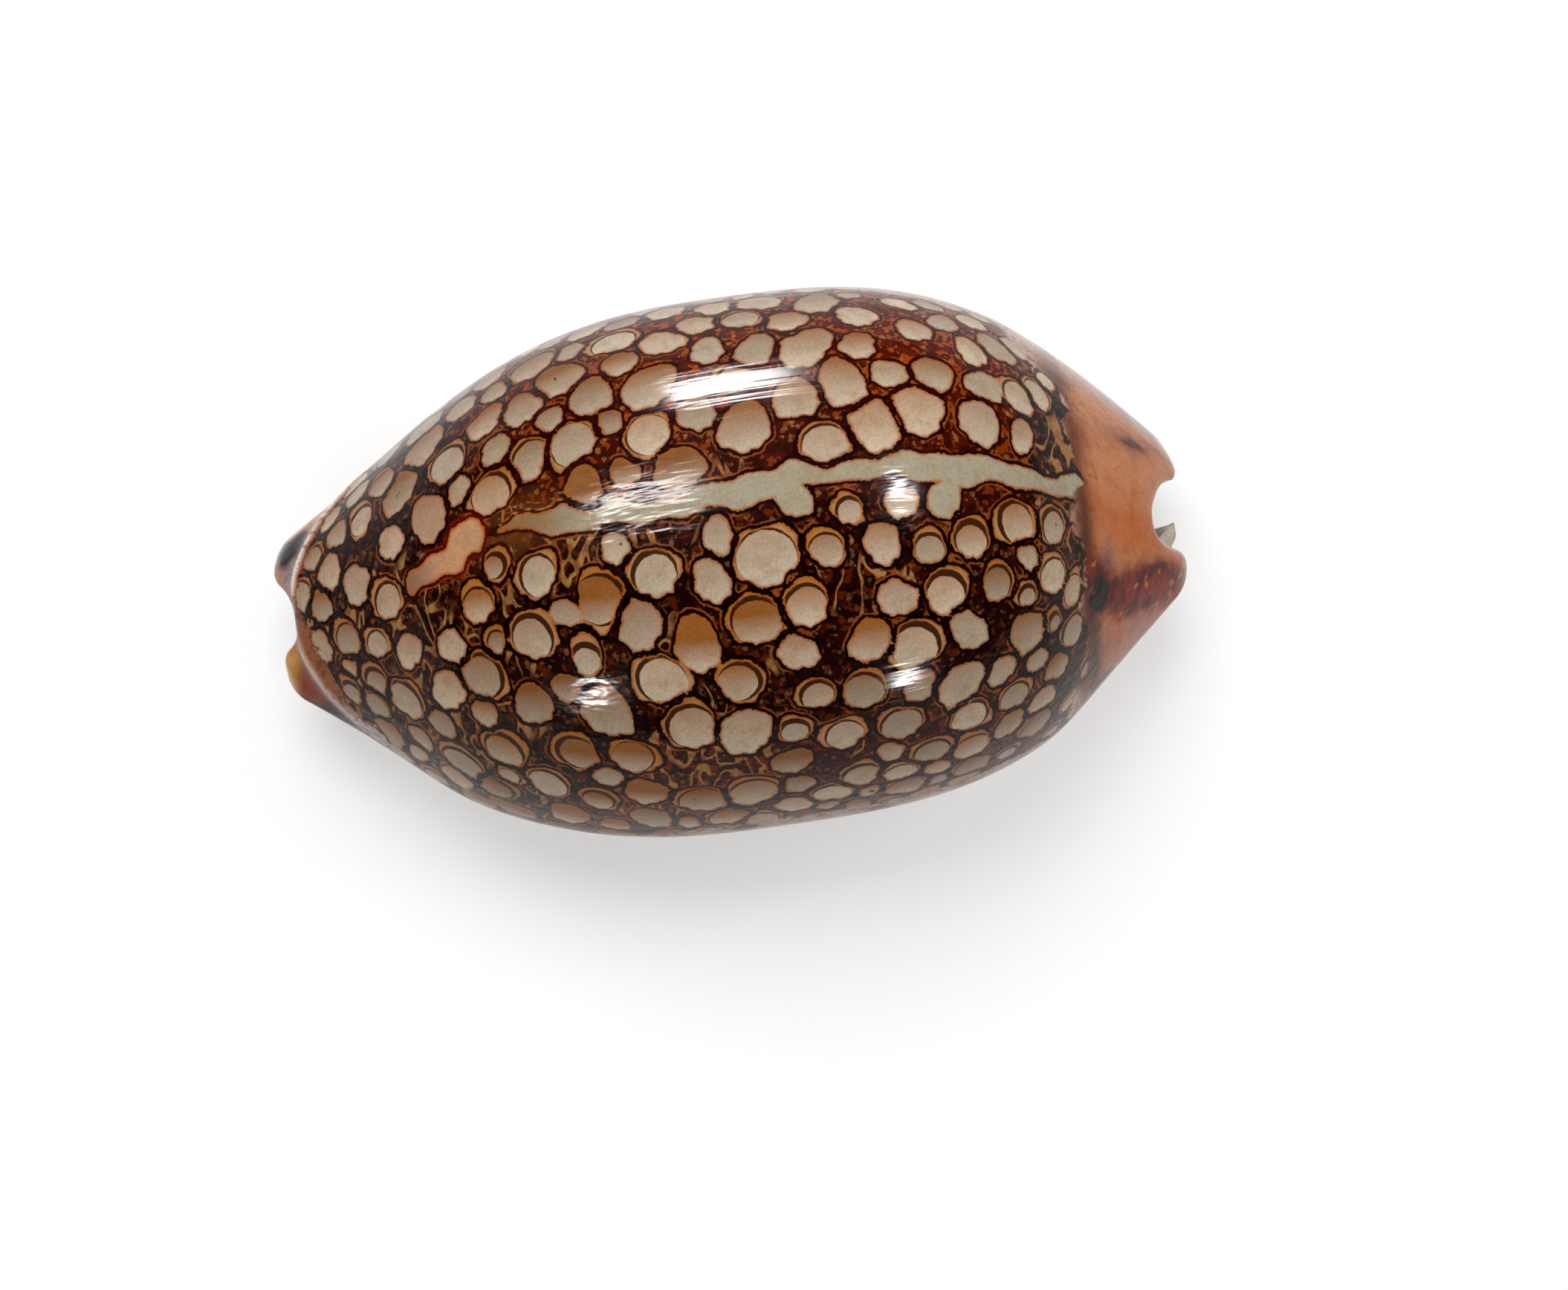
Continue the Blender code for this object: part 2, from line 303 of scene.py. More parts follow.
def eased(grid, amount):
    """The grid with each point drawn towards its neighbours by its own amount, the edge along itself."""
    for _ in range(EASINGS):
        mean = grid.copy()
        mean[1:-1, 1:-1] = (grid[2:, 1:-1] + grid[:-2, 1:-1] + grid[1:-1, 2:] + grid[1:-1, :-2]) / 4
        mean[1:-1, 0] = (grid[2:, 0] + grid[:-2, 0]) / 2
        mean[1:-1, -1] = (grid[2:, -1] + grid[:-2, -1]) / 2
        grid = grid + (mean - grid) * amount[..., None]
    return grid


def refined(grid, at, axis):
    """The grid read at the given places between its rows, along one axis, on smooth curves through them."""
    grid = np.moveaxis(grid, axis, 0)
    ends = np.concatenate([[2 * grid[0] - grid[1]], grid, [2 * grid[-1] - grid[-2]]])
    cell = np.minimum(at.astype(int), len(grid) - 2)
    s = (at - cell).reshape((-1,) + (1,) * (grid.ndim - 1))
    a, b, c, d = ends[cell], ends[cell + 1], ends[cell + 2], ends[cell + 3]
    curve = b + s * ((c - a) / 2 + s * (a - 2.5 * b + 2 * c - d / 2 + s * (1.5 * (b - c) + (d - a) / 2)))
    return np.moveaxis(curve, 0, axis)


shares = np.linspace(0, 1, 2 * SIDE_POINTS + 1)
round_it = [(1, share) for share in shares[::-1]] + [(-1, share) for share in shares[1:]]
even = np.linspace(0, 1, 400)
from_end = LENGTH * np.minimum(even, 1 - even)
crowd = np.concatenate([[0], np.cumsum(1 + 2.6 * np.exp(-from_end[1:] / 1.1))])
rows = np.interp(np.linspace(0, crowd[-1], 2 * STATIONS + 1), crowd, even)
middle = np.zeros((len(rows), len(round_it), 3))
facts = np.zeros((len(rows), len(round_it), 4))  # half thickness, way to the lip edge, to the end, past lip
for j, (side, share) in enumerate(round_it):
    front = front_edge(sample(0.01, side, share)[0], share)
    rear = rear_edge(sample(0.99, side, share)[0], side, share)
    for i, row in enumerate(rows):
        t = front + (rear - front) * row
        y, z, half, to_lip, past_lip = sample(t, side, share)
        middle[i, j] = (LENGTH * (t - 0.5), y, z)
        facts[i, j] = (half, to_lip, LENGTH * min(t - front, rear - t), past_lip)
t = middle[..., 0] / LENGTH + 0.5
middle = eased(middle, 0.6 * (smooth(0.20, 0.10, t) + smooth(0.80, 0.90, t)))
fine_rows = np.linspace(0, len(rows) - 1, (len(rows) - 1) * ROW_STEPS + 1)
base_steps = round(BACK_COLUMNS[0] * BASE_STEPS)
back_steps = (BACK_COLUMNS[1] - BACK_COLUMNS[0]) * BACK_STEPS
fine_columns = np.concatenate([
    np.linspace(0, BACK_COLUMNS[0], base_steps + 1)[:-1],
    np.linspace(*BACK_COLUMNS, back_steps + 1)[:-1],
    np.linspace(BACK_COLUMNS[1], len(round_it) - 1, base_steps + 1),
])
middle = refined(refined(middle, fine_rows, 0), fine_columns, 1)
facts = refined(refined(facts, fine_rows, 0), fine_columns, 1)
half = facts[..., 0] * np.sqrt(1 - np.clip(1 - facts[..., 1] / HALF_BASE, 0, 1) ** 2)
half = half * np.sqrt(1 - np.clip(1 - facts[..., 2] / MARGIN_WALL * 2, 0, 1) ** 2)
away = np.cross(np.gradient(middle, axis=1), np.gradient(middle, axis=0))
away = away / np.linalg.norm(away, axis=2, keepdims=True)
outside = middle + away * half[..., None]
inside = middle - away * half[..., None]
outside[..., 2] = np.where(outside[..., 2] < 0.06, 0, outside[..., 2])
reach = outside.reshape(-1, 3)
centre = (reach.max(axis=0) + reach.min(axis=0)) / 2 * (1, 1, 0)
outside = outside - centre
inside = inside - centre
fit = np.minimum(1, np.array(shell_high) / MM / (outside.reshape(-1, 3).max(axis=0) + 0.01))
outside = outside * fit
inside = inside * fit

# A low ridge runs round the front collar, with a shallow step down to the beaks in front of it.
RIDGE_RISE = 0.22
RIDGE_WIDTH = 0.23
RIDGE_START = 0.024  # share of the length, at the middle of the collar
RIDGE_BOW = 0.00125  # how fast it runs back on both sides
STEP_DROP = 0.15
along = outside[..., 0] / LENGTH + 0.5
from_middle = outside[..., 1] - 0.3
ridge_at = RIDGE_START + RIDGE_BOW * from_middle**2
past_ridge = LENGTH * (along - ridge_at) / np.sqrt(1 + (LENGTH * 2 * RIDGE_BOW * from_middle) ** 2)
on_top = smooth(-0.1, 0.4, away[..., 2]) * smooth(0.14, 0.10, along) * smooth(0.0, 1.0, facts[..., 2])
ridge = RIDGE_RISE * np.exp(-((past_ridge / RIDGE_WIDTH) ** 2))
ridge = ridge - STEP_DROP * np.exp(-(((past_ridge + 0.8) / 0.5) ** 2))
outside = outside + away * (ridge * on_top)[..., None]

# The outside is a fine grid, the inside a coarse one, and the two share the rounded rim.
INSIDE_STEP = 4
n_rows, n_columns = outside.shape[:2]
grid = np.arange(n_rows * n_columns).reshape(n_rows, n_columns)
coarse = grid[::INSIDE_STEP, ::INSIDE_STEP].copy()
coarse_rows, coarse_columns = coarse.shape
lining_numbers = grid.size + np.arange((coarse_rows - 2) * (coarse_columns - 2))
coarse[1:-1, 1:-1] = lining_numbers.reshape(coarse_rows - 2, -1)
off_rim = slice(INSIDE_STEP, -INSIDE_STEP, INSIDE_STEP)
lining = inside[off_rim, off_rim].reshape(-1, 3)
points = np.concatenate([outside.reshape(-1, 3), lining])
corners = [grid[:-1, :-1], grid[:-1, 1:], grid[1:, 1:], grid[1:, :-1]]
faces = np.stack(corners, axis=-1).reshape(-1, 4).tolist()
for i in range(coarse_rows - 1):
    for j in range(coarse_columns - 1):
        row, column = i * INSIDE_STEP, j * INSIDE_STEP
        face = [coarse[i, j]]
        if j == 0:
            face.extend(grid[row + 1:row + INSIDE_STEP, 0])
        face.append(coarse[i + 1, j])
        if i == coarse_rows - 2:
            face.extend(grid[-1, column + 1:column + INSIDE_STEP])
        face.append(coarse[i + 1, j + 1])
        if j == coarse_columns - 2:
            face.extend(grid[row + 1:row + INSIDE_STEP, -1][::-1])
        face.append(coarse[i, j + 1])
        if i == 0:
            face.extend(grid[0, column + 1:column + INSIDE_STEP][::-1])
        faces.append([int(n) for n in face])
wall_mesh = bpy.data.meshes.new("wall")
wall_mesh.from_pydata((points * MM).tolist(), [], faces)
wall_mesh.update()
wall_mesh.shade_smooth()
wall = bpy.data.objects.new("wall", wall_mesh)
scene.collection.objects.link(wall)


def keep(name, values, inner=0.0):
    """Stores a value or a colour for every point of the wall, with one value for all of the lining."""
    values = np.asarray(values, float)
    colours = values.ndim == 3
    flat = values.reshape(-1, 3) if colours else values.reshape(-1)
    rest = np.tile(inner, (len(lining), 1)) if colours else np.full(len(lining), inner)
    flat = np.concatenate([flat, rest])
    if colours:
        flat = np.concatenate([flat, np.ones((len(flat), 1))], axis=1)
    layer = wall_mesh.attributes.new(name, "FLOAT_COLOR" if colours else "FLOAT", "POINT")
    layer.data.foreach_set("color" if colours else "value", flat.reshape(-1).astype(np.float32))


# ---------------------------------------------------------------------------------------------------
# The markings of the back, laid down in the top of the glaze: pale round cells left open in a dark brown
# net, many of them with a darker crescent inside and a tan rim, and one plain pale line along the back.
# Each is a distance, in millimetres, from an edge: below zero inside. The shader turns these into colour.
# ---------------------------------------------------------------------------------------------------
SPACING = 2.90  # between the middles of cells
GAP = 0.42  # of net between cells that would touch
LINE_WIDTH = 1.55
DOUBLE_EDGED = 0.42
WIDE_GAP = 0.34  # share of the spacing that leaves room for a small cell
FAR = 4.0  # stands for any greater distance from an edge
rng = np.random.default_rng(7)
x, y, z = np.moveaxis(outside, 2, 0)
along = x / LENGTH + 0.5
up = z / back_height(along)
side_limit = np.where(y > 0, 0.58, 0.40) - 0.10 * smooth(0.75, 0.95, along)
side_limit = side_limit - np.where(y > 0, 0.10, 0.24) * smooth(0.45, 0.15, along)
side_limit = side_limit - 0.12 * smooth(0.25, 0.10, along) * (y < 0)
side_limit = side_limit + 0.10 * smooth(0.58, 0.70, along) * (y > 0)
front_limit = 0.030 + RIDGE_BOW * np.minimum((y - 0.3) ** 2, 60)
front_limit = front_limit + 0.009 * smooth(1.5, -1.5, y) * smooth(-6, -3.5, y)
rear_limit = 0.868 + 0.005 * np.sin(1.2 * y + 0.6) + 0.003 * np.sin(2.9 * y)
rear_limit = rear_limit - 0.008 * smooth(1, -3, y) - 0.075 * smooth(5, 14, y) - 0.015 * smooth(-8, -12, y)
from_ends = LENGTH * np.minimum(along - front_limit, rear_limit - along)
patterned = np.minimum((up - side_limit) * back_height(along), from_ends)
patterned = np.where(away[..., 2] < -0.2, -5, patterned)

# The line widens and narrows, and fades out towards the front between two thin brown edgings.
line_at = 1.3 - 0.9 * smooth(0.28, 0.45, along) + 0.7 * smooth(0.45, 0.60, along)
line_at = line_at - 1.7 * smooth(0.62, 0.95, along)
line_reach = LINE_WIDTH / 2 * smooth(0.235, 0.34, along) * smooth(0.890, 0.865, along)
line_reach = line_reach * (1 + 0.22 * np.sin(x * 0.55 + 0.6) + 0.10 * np.sin(x * 1.9))
from_line = np.abs(y - line_at + 0.16 * np.sin(x * 1.1) + 0.12 * np.sin(x * 2.3 + 1)) - line_reach
from_line = np.where((along < 0.235) | (along > 0.89), 9, from_line)
edging = np.minimum(np.abs(from_line - 0.20) - 0.06, np.abs(from_line - 0.62) - 0.05)
edging = np.where((y > line_at) & (along > 0.26) & (along < 0.50), edging, 2)

# The middles of the cells are spread over the patterned points at random, closer together near its edges.
patch = (patterned > -1.5).reshape(-1)
spots = outside.reshape(-1, 3)[patch]
spot_faces = away.reshape(-1, 3)[patch]
inland = smooth(-0.5, 5.0, patterned.reshape(-1)[patch])
mid_length = np.exp(-((spots[:, 0] / 16) ** 2))
spread = SPACING * (0.70 + 0.30 * inland) * (1 + 0.09 * mid_length)
free = np.ones(len(spots), bool)
seeds = []
for n in rng.permutation(len(spots)):
    if free[n]:
        seeds.append(n)
        free &= np.linalg.norm(spots - spots[n], axis=1) > spread[n] * rng.uniform(0.78, 1.0)
cell_middle = spots[seeds]
cell_face = spot_faces[seeds]
cell_spread = spread[seeds]


def slanted(u, w, angle):
    """Two distances as they are along axes turned by an angle."""
    return u * np.cos(angle) + w * np.sin(angle), w * np.cos(angle) - u * np.sin(angle)


def within(middles, share, across, long, wide, slant=0.0):
    """Which of the cells stand inside an oval on the back, placed by share of the length."""
    a, b = slanted(middles[:, 0] - LENGTH * (share - 0.5), middles[:, 1] - across, slant)
    return ((a / long) ** 2 + (b / wide) ** 2 < 1) & (middles[:, 2] > 6)


# Cells join the line on both sides, and are missing round the pink scar and in a few dark places.
line_middle = np.interp(cell_middle[:, 0], x[:, n_columns // 2], line_at[:, n_columns // 2])
beside_line = np.abs(cell_middle[:, 1] - line_middle)
on_line = (cell_middle[:, 0] > -14.5) & (cell_middle[:, 0] < 22)
in_reach = (beside_line > 1.1) & (beside_line < 2.7) & (cell_middle[:, 0] > -4)
joins_line = on_line & in_reach & (rng.random(len(seeds)) < 0.80)
grown = rng.random(len(seeds)) > 0.05 + 0.07 * (cell_middle[:, 1] < 0)
keep_cell = ~(on_line & (beside_line < 1.5) & ~joins_line) & grown
SCAR_SHARE, SCAR_ACROSS, SCAR_SLANT = 0.20, 0.5, 0.45
BARE_PLACES = (  # share of the length, place across, half length, half width and slant
    (SCAR_SHARE, SCAR_ACROSS, 4.0, 1.9, SCAR_SLANT),
    (0.167, -2.6, 3.2, 1.6, -0.4),
    (0.626, -5.1, 2.3, 2.0),
    (0.34, -0.8, 2.4, 1.2),
    (0.44, -13.5, 3.0, 1.4),
    (0.695, 8.6, 2.2, 1.7),
    (0.29, 0.9, 1.7, 1.4),
    (0.838, 1.2, 1.5, 3.4),
)
for bare_place in BARE_PLACES:
    keep_cell &= ~within(cell_middle, *bare_place)
neighbours = cell_middle[keep_cell]

# Small cells fill the widest gaps that are left, the widest first.
room = np.minimum(from_line, patterned).reshape(-1)[patch] - 0.5
for place in neighbours:
    room = np.minimum(room, np.linalg.norm(spots - place, axis=1) - 0.47 * spread)
for bare_place in BARE_PLACES:
    room[within(spots, *bare_place)] = 0
small = []
small_room = []
while (room / spread).max() > WIDE_GAP:
    n = int(np.argmax(room / spread))
    small.append(n)
    small_room.append(min(room[n], 0.45 * spread[n]))
    room = np.minimum(room, np.linalg.norm(spots - spots[n], axis=1) - small_room[-1])
cell_middle = np.concatenate([cell_middle, spots[small]])
cell_face = np.concatenate([cell_face, spot_faces[small]])
cell_spread = np.concatenate([cell_spread, spread[small]])
cell_room = np.concatenate([np.full(len(seeds), np.inf), small_room])
beside_line = np.concatenate([beside_line, np.full(len(small), 9.0)])
joins_line = np.concatenate([joins_line, np.zeros(len(small), bool)])
keep_cell = np.concatenate([keep_cell, np.ones(len(small), bool)])

# Each cell is a lobed, uneven round. For every point the nearest cell counts, and how near the next one is.
line_edge = np.minimum(from_line.reshape(-1)[patch], FAR)
nearest = np.full(len(spots), FAR)
second = np.full(len(spots), FAR)
core = np.full(len(spots), -1.0)
moon = np.full(len(spots), 1.0)
dot_edge = np.full(len(spots), 1.0)
weight = np.full(len(spots), 1e-9)
traits = np.zeros((3, len(spots)))  # how ochre, how pale, how high up in its cell
for n in np.nonzero(keep_cell)[0]:
    cell_x, cell_y = cell_middle[n, :2]
    offset = spots - cell_middle[n]
    near = np.einsum("ij,ij->i", offset, offset) < 30
    offset = offset[near]
    across = np.cross(cell_face[n], (1, 0, 0))
    across = across / np.linalg.norm(across)
    forward = np.cross(across, cell_face[n])
    turn = rng.uniform(0, np.pi)
    stretch = rng.uniform(0.84, 1.0)
    u = offset @ forward
    w = offset @ across
    long, short = slanted(u, w, turn)
    angle = np.arctan2(short, long)
    crowded = 0.5 + 0.5 * np.sin(0.31 * cell_x + 0.8) * np.sin(0.37 * cell_y + 0.15 * cell_x + 2.0)
    apart = np.sort(np.linalg.norm(neighbours - cell_middle[n], axis=1))[1:5].mean()
    apart = min(apart, 1.12 * cell_spread[n])
    size = apart * (0.385 + 0.10 * crowded + rng.uniform(-0.05, 0.06)) * (0.76 if joins_line[n] else 1.0)
    size = min(size, 0.84 * cell_room[n])
    lobes = 1 + 0.05 * np.cos(2 * angle + rng.uniform(0, 6)) + 0.055 * np.cos(3 * angle + rng.uniform(0, 6))
    lobes = lobes + 0.03 * np.cos(5 * angle + rng.uniform(0, 6))
    spurs = smooth(0.1, -0.7, w / size) * np.cos(9 * angle + rng.uniform(0, 6))
    distance = np.hypot(long * stretch, short / stretch) - size * (lobes + 0.05 * spurs)

    # A second, smaller outline sits low in many cells, with a dark crescent between the two at the top.
    drift = rng.normal(0, 0.6)
    rim = rng.uniform(0.15, 0.32)
    thick = rng.uniform(0.18, 0.46)
    inset = (rim + thick) / 2
    shift = inset * rng.uniform(0.80, 1.10)
    u_core = u + shift * np.sin(drift)
    w_core = w + shift * np.cos(drift)
    core_size = (size - inset) * (1 + 0.04 * np.cos(2 * np.arctan2(w_core, u_core) + drift * 5))
    own_core = np.hypot(u_core, w_core) - core_size
    u_moon = u_core - 0.5 * thick * np.sin(drift)
    w_moon = w_core - 0.5 * thick * np.cos(drift)
    own_moon = np.hypot(u_moon, w_moon) - core_size - 0.5 * thick
    chance = DOUBLE_EDGED + 0.32 * (cell_y < 2) - 0.45 * (n >= len(seeds))
    single = joins_line[n] or rng.random() > chance
    own_dot = np.full(len(offset), 1.0)
    if rng.random() < 0.02:
        own_dot = np.hypot(u - rng.uniform(-0.4, 0.4), w - rng.uniform(-0.4, 0.4)) - rng.uniform(0.10, 0.22)
    own_ochre = rng.beta(0.9, 1.2) * (0.65 + 0.7 * np.exp(-(((cell_x + 8) / 13) ** 2)))
    own_pale = rng.uniform(0.68, 1.04)
    merged = joins_line[n] or (rng.random() < 0.07 and beside_line[n] > 4)
    if single or merged:
        own_core = np.full(len(offset), -1.0)
    if joins_line[n]:
        own_ochre, own_pale = 0.0, 0.95
    first = nearest[near]
    nearer = distance < first
    if joins_line[n]:
        line_edge[near] = np.minimum(line_edge[near], distance)
    else:
        if not merged:
            second[near] = np.minimum(np.maximum(first, distance), second[near])
        nearest[near] = np.minimum(first, distance)
        core[near] = np.where(nearer, own_core, core[near])
        moon[near] = np.where(nearer, own_moon, moon[near])
        dot_edge[near] = np.where(nearer, own_dot, dot_edge[near])
    pull = np.exp(-np.clip(distance, -2, 2) / 0.12)
    weight[near] += pull
    traits[:, near] += pull * np.array([np.full(len(u), own_ochre), np.full(len(u), own_pale), w / size])
ochre, pale, rise_in_cell = traits / weight
ochre = np.where(weight < 1e-7, 0, ochre)
beside = line_edge < nearest
second = np.where(beside, nearest, np.minimum(second, line_edge))
nearest = np.minimum(nearest, line_edge)
cell = np.maximum(nearest, GAP / 2 - (second - nearest) / 2)

# The scar: a pinkish, uneven patch near the front where the net was never laid down.
scar_u = spots[:, 0] - LENGTH * (SCAR_SHARE - 0.5)
scar_a, scar_b = slanted(scar_u, spots[:, 1] - SCAR_ACROSS, SCAR_SLANT)
scar_b = scar_b + 0.24 * np.sin(scar_a * 1.6 + 1) + 0.15 * np.sin(scar_a * 3.7)
scar_spine = np.clip(scar_a, -2.2, 1.9)
scar = np.hypot(scar_a - scar_spine, scar_b) - (0.88 + 0.13 * scar_spine)
scar = np.where(spots[:, 2] > 8, scar, FAR)
cell = np.where(scar < 1.2, np.minimum(np.maximum(cell, 0.40 - scar), scar), cell)
core = np.where(beside | (scar < 0.3), -1, core)
moon = np.where(beside | (scar < 0.3), 1, moon)
dot_edge = np.where(beside | (scar < 0.3), 1, dot_edge)

CELL_CREAM = (208, 190, 166)  # all colours are as seen, each part from 0 to 255
CELL_OCHRE = (150, 90, 38)
LINE_PALE = (168, 158, 134)
LINE_AT_FRONT = (146, 120, 84)
SCAR_PINK = (204, 154, 116)
NET_BROWN = (98, 22, 1)
NET_DARK = (20, 1, 0)
SIDE_FAWN = (184, 154, 138)
BASE_CREAM = (218, 198, 168)
REAR_ORANGE = (196, 128, 84)
LINING_PALE = (232, 222, 216)
SPOT_SPACING = 3.3


def spread_out(values, elsewhere):
    """Values of the patterned points put back on the whole outside."""
    full = np.full(outside.shape[:2], float(elsewhere))
    full.reshape(-1)[patch] = values
    return full


def tone(red, green, blue):
    """A colour as seen, 0 to 255, as the linear colour that a shader takes."""
    share = np.array([red, green, blue]) / 255
    return np.where(share < 0.04045, share / 12.92, ((share + 0.055) / 1.055) ** 2.4)


def over(below, colour, amount):
    """The colour laid over another where amount is 1."""
    return below + (np.asarray(colour) - below) * np.clip(amount, 0, 1)[..., None]


def blot(share, across, long, wide, slant=0.0):
    """1 in the middle of a soft, uneven patch on the upper side, 0 outside, placed by share of the length."""
    u = x - LENGTH * (share - 0.5) + 0.22 * np.sin(1.7 * y + 0.9 * z) + 0.10 * np.sin(4.1 * y - 1.3 * x)
    w = y - across + 0.20 * np.sin(1.9 * x + 1.1 * z + 1) + 0.10 * np.sin(4.6 * x + 2.1 * y)
    a, b = slanted(u, w, slant)
    return np.exp(-((a / long) ** 2) - (b / wide) ** 2) * smooth(-0.5, 0.0, away[..., 2])


def patches(below, *marks):
    """Soft patches laid one after another. Each is a colour, an amount and a place as in blot."""
    for colour, amount, *place in marks:
        below = over(below, tone(*colour), amount * blot(*place))
    return below


cell = spread_out(cell, FAR)
keep("cell_edge", cell, FAR)
keep("core_edge", spread_out(core, -1), -1.0)
keep("moon", spread_out(moon, 1), 1.0)
keep("dot_edge", spread_out(dot_edge, 1), 1.0)
scar = spread_out(scar, FAR)
keep("net_zone", patterned, -5.0)

ochre = spread_out(ochre, 0)
rise_in_cell = np.clip(spread_out(rise_in_cell, 0), -1, 1)
line_edge = spread_out(line_edge, FAR)
pale = np.where(line_edge < 0, 1, spread_out(pale, 1))
ochre = ochre * (0.65 + 0.55 * rise_in_cell) + 0.18 + 0.22 * rise_in_cell - 0.16 * smooth(2, 8, y)
ochre = np.clip(ochre, 0, 1)
blank = np.ones(outside.shape[:2] + (1,))
cell_colour = over(tone(*CELL_CREAM) * blank, tone(*CELL_OCHRE), ochre)
cell_colour = cell_colour * pale[..., None]
line_colour = over(tone(*LINE_PALE) * blank, tone(*LINE_AT_FRONT), smooth(0.38, 0.25, along))
cell_colour = over(cell_colour, line_colour, smooth(0.25, -0.20, line_edge))
cell_colour = over(cell_colour, tone(196, 138, 106), 0.45 * blot(0.19, 1.6, 4.2, 3.4, 0.5))
scar_colour = over(tone(*SCAR_PINK) * blank, tone(130, 96, 80), smooth(-16.5, -20, x))
scar_colour = over(scar_colour, tone(196, 112, 62), 0.6 * smooth(-0.40, -0.02, scar))
cell_colour = over(cell_colour, scar_colour, smooth(0.4, 0.1, scar))
keep("line_edging", edging, 2.0)

# The net is dark brown where gloom is 1 and red-brown where it is 0.
gloom = 0.70 + 0.46 * np.exp(-(((x - 1) / 26) ** 2) - ((y + 7) / 7.5) ** 2)
gloom = gloom + 0.9 * smooth(0.80, 0.85, along) * smooth(9, 3, y) - 0.16 * smooth(3, 9, y)
gloom = gloom + 0.40 * smooth(0.36, 0.16, along)
gloom = gloom + 1.1 * blot(0.16, -2.7, 4.4, 2.6, -0.3) + 0.6 * blot(0.33, -1.0, 3.0, 1.6)
gloom = np.clip(gloom, 0, 1)
net_colour = over(tone(*NET_BROWN) * blank, tone(*NET_DARK), gloom)
net_colour = over(net_colour, tone(156, 38, 10), 0.8 * smooth(0.42, 0.12, scar) * smooth(-20, -16, x))
stained = 0.75 * blot(0.285, 1.2, 2.2, 1.7, 0.2)
net_colour = over(net_colour, tone(104, 58, 22), stained)
cell_colour = over(cell_colour, tone(140, 100, 60), stained)
keep("cell_colour", cell_colour, (1, 1, 1))
keep("net_colour", net_colour, (1, 1, 1))
keep("net_gloom", gloom)

# Winding bars fill some of the bare places of the net, and close dots fill the others.
barred = 0.45 + blot(0.626, -5.1, 3.0, 2.6) + blot(0.34, -0.8, 3.2, 1.6) + blot(0.44, -13.5, 4.0, 2.2)
barred = barred + 0.9 * blot(0.85, 1.5, 2.4, 4.6) + 0.35 * smooth(0.34, 0.22, along) * smooth(3, -1, y)
barred = barred - 0.9 * blot(0.695, 8.6, 4.2, 3.2) - 0.6 * smooth(4, 8, y)
keep("barred", np.clip(barred, 0, 1))

# Outside the net: fawn sides with soft violet-brown spots, a cream base, tan collars and stained beaks.
plain = tone(*SIDE_FAWN) * blank
side_band = smooth(0.02, 0.10, up) * smooth(0.62, 0.40, up)
side_band = side_band * smooth(0.07, 0.14, along) * smooth(0.92, 0.86, along)
candidates = np.nonzero((side_band > 0.5).reshape(-1))[0]
flat_outside = outside.reshape(-1, 3)
spot_edge = np.full(len(flat_outside), FAR)
free = np.ones(len(candidates), bool)
for n in rng.permutation(len(candidates)):
    if free[n]:
        offset = flat_outside[candidates] - flat_outside[candidates[n]]
        free &= np.linalg.norm(offset, axis=1) > SPOT_SPACING
        if rng.random() < 0.55:
            size = rng.uniform(0.5, 1.15)
            offset = (flat_outside - flat_outside[candidates[n]]) * (0.8, 1, 1)
            spot_edge = np.minimum(spot_edge, np.linalg.norm(offset, axis=1) - size)
keep("spot_edge", np.where(away[..., 2] < -0.6, FAR, spot_edge.reshape(x.shape)), FAR)
plain = over(plain, tone(*BASE_CREAM), smooth(-0.35, -0.9, away[..., 2]))

# The rear end: orange-brown, darker where the net stops, with dark patches and a deep red wedge.
on_end = smooth(-0.7, -0.2, away[..., 2])
low_down = smooth(0.55, 0.15, up)
uneven = along + 0.004 * np.sin(1.3 * z) + 0.003 * np.sin(1.1 * y)
rear = smooth(0.846 - 0.05 * low_down, 0.868 + 0.03 * low_down, uneven) * on_end
high_up = smooth(0.25, 0.5, up)
plain = over(plain, tone(*REAR_ORANGE), rear)
plain = over(plain, tone(142, 72, 34), rear * smooth(0.897, 0.868, along + 0.006 * np.sin(1.4 * y)) * high_up)
plain = over(plain, tone(194, 106, 48), rear * blot(0.925, -2.2, 3.0, 1.8))
plain = over(plain, tone(180, 136, 116), rear * smooth(4.6, 6.4, y + 0.55 * (x - 25.6)))
plain = patches(
    plain,
    ((126, 114, 124), 0.9, 0.962, 5.4, 1.8, 0.7, -0.6),
    ((142, 84, 60), 0.7, 0.936, 3.4, 1.9, 0.75, -0.2),
    ((84, 34, 20), 1.4, 0.942, 3.3, 0.85, 0.30, -0.30),
    ((130, 76, 56), 0.8, 0.975, 3.3, 1.4, 0.20, -0.5),
)
plain = over(plain, tone(178, 110, 78), rear * smooth(-6.8, -8.6, y - 0.5 * (x - 22)))
plain = over(plain, tone(176, 70, 12), 0.9 * blot(0.982, -4.0, 1.4, 0.7, -0.2))
plain = over(plain, tone(204, 118, 10), 1.5 * smooth(27.0, 27.9, x) * blot(0.995, -4.8, 1.8, 1.1))
plain = patches(
    plain,
    ((214, 120, 50), 0.9, 0.878, -4.1, 0.35, 0.30),
    ((112, 84, 96), 0.7, 0.893, -4.3, 0.30, 1.1, -0.30),
    ((206, 100, 26), 1.1, 0.892, -7.0, 0.35, 0.45),
    ((200, 92, 24), 0.9, 0.902, -7.9, 0.45, 0.30, 0.5),
)
net_end = 0.85 * rear * high_up * smooth(0.884, 0.868, along)
plain = over(plain, tone(34, 9, 5), net_end * (0.55 + 0.45 * smooth(0.5, -1.5, y)))
